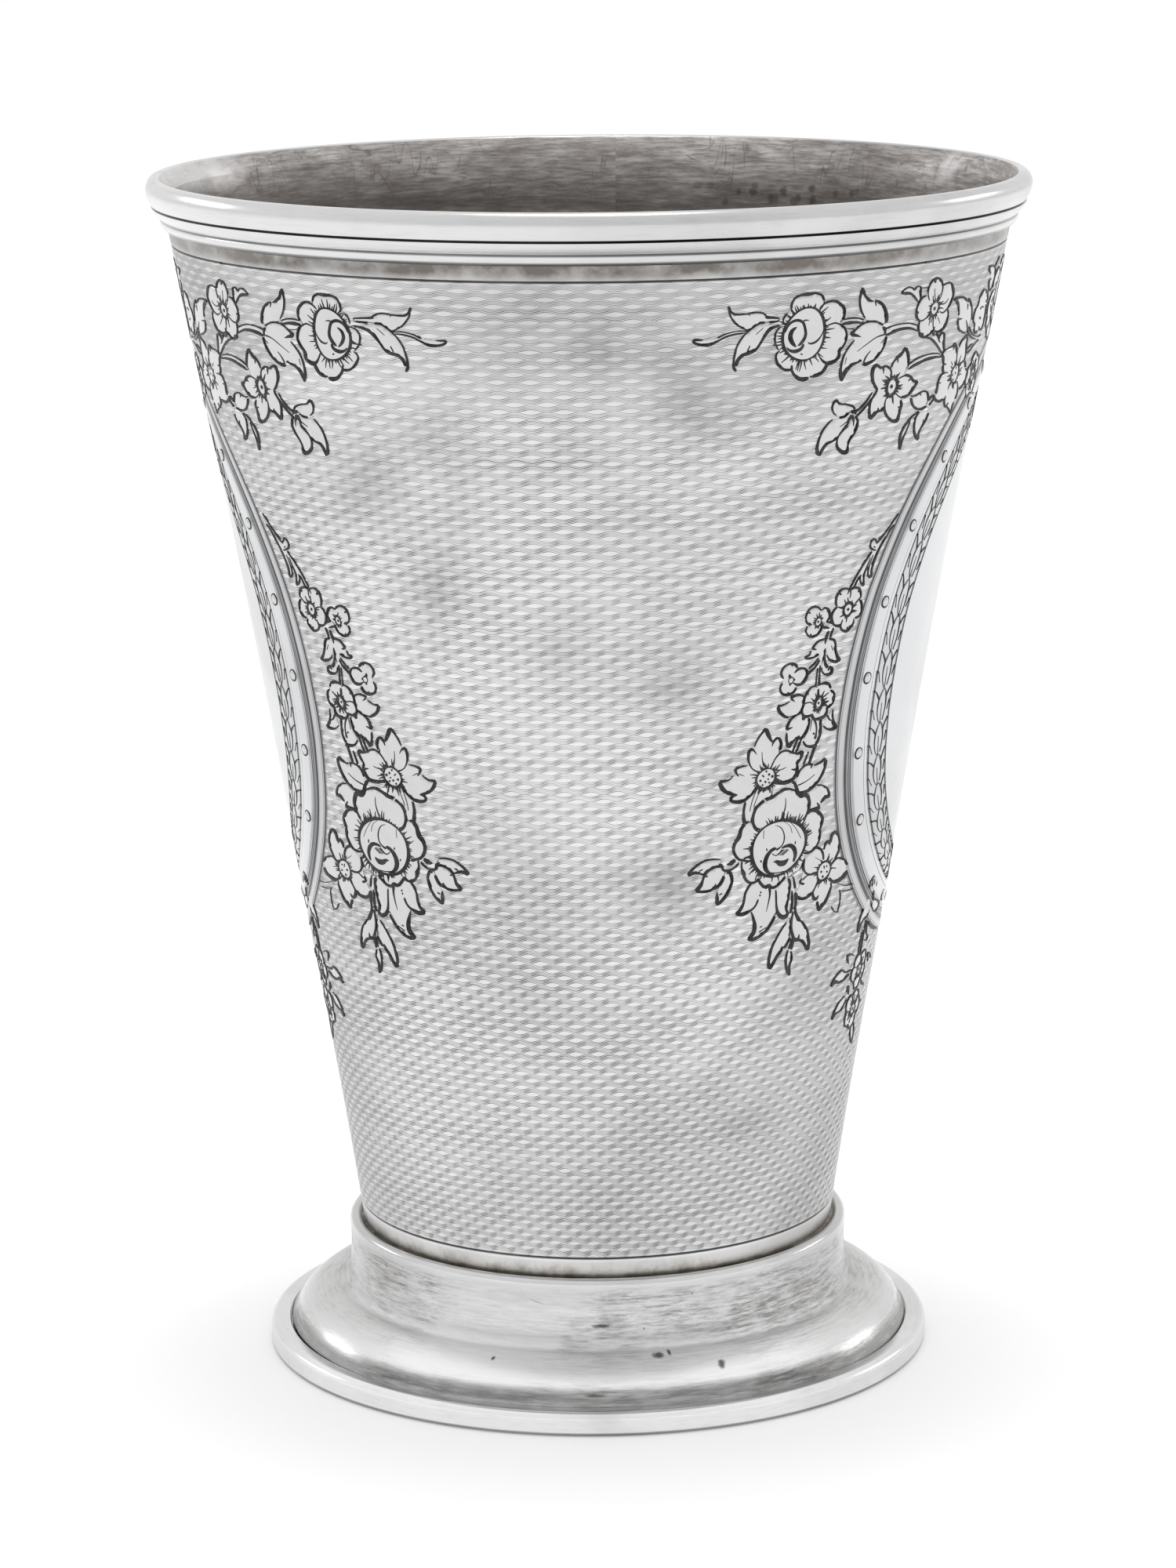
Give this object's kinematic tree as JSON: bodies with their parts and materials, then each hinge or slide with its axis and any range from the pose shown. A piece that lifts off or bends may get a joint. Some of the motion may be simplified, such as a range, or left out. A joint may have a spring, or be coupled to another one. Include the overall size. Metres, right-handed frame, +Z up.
{
  "type": "beaker",
  "caption": "Tapered drinking beaker of sheet silver on a spun stepped foot, with a moulded lip, engine-turned body and engraved oval medallions with flower garlands.",
  "frame": {"origin": "centre of the circle that the foot stands on, on the beaker's axis", "axes": "+Z up the axis from the foot to the lip; -Y is the front, the engine-turned side between the two oval medallions, which are centred on +X and -X"},
  "size_m": [0.0878, 0.0878, 0.12],
  "materials": {
    "engraved_silver": "polished silver, engine turned all over between two engraved lines, dark oxide in the cuts, cloudy tarnish",
    "polished_silver": "bright polished silver with fine handling scratches",
    "brushed_silver": "spun silver, brushed round the axis, dark tarnish in the hollows, small nicks",
    "cup_bottom_silver": "satin silver, grey-brown tarnish",
    "silver_solder": "dull, slightly yellow"
  },
  "bodies": {
    "root": {"body_wall": "engraved_silver", "floor_disc": "cup_bottom_silver", "lip_moulding": "polished_silver", "foot_shell": "brushed_silver", "foot_rim": "polished_silver", "collar_solder": "silver_solder", "floor_solder": "silver_solder"}
  },
  "joints": []
}
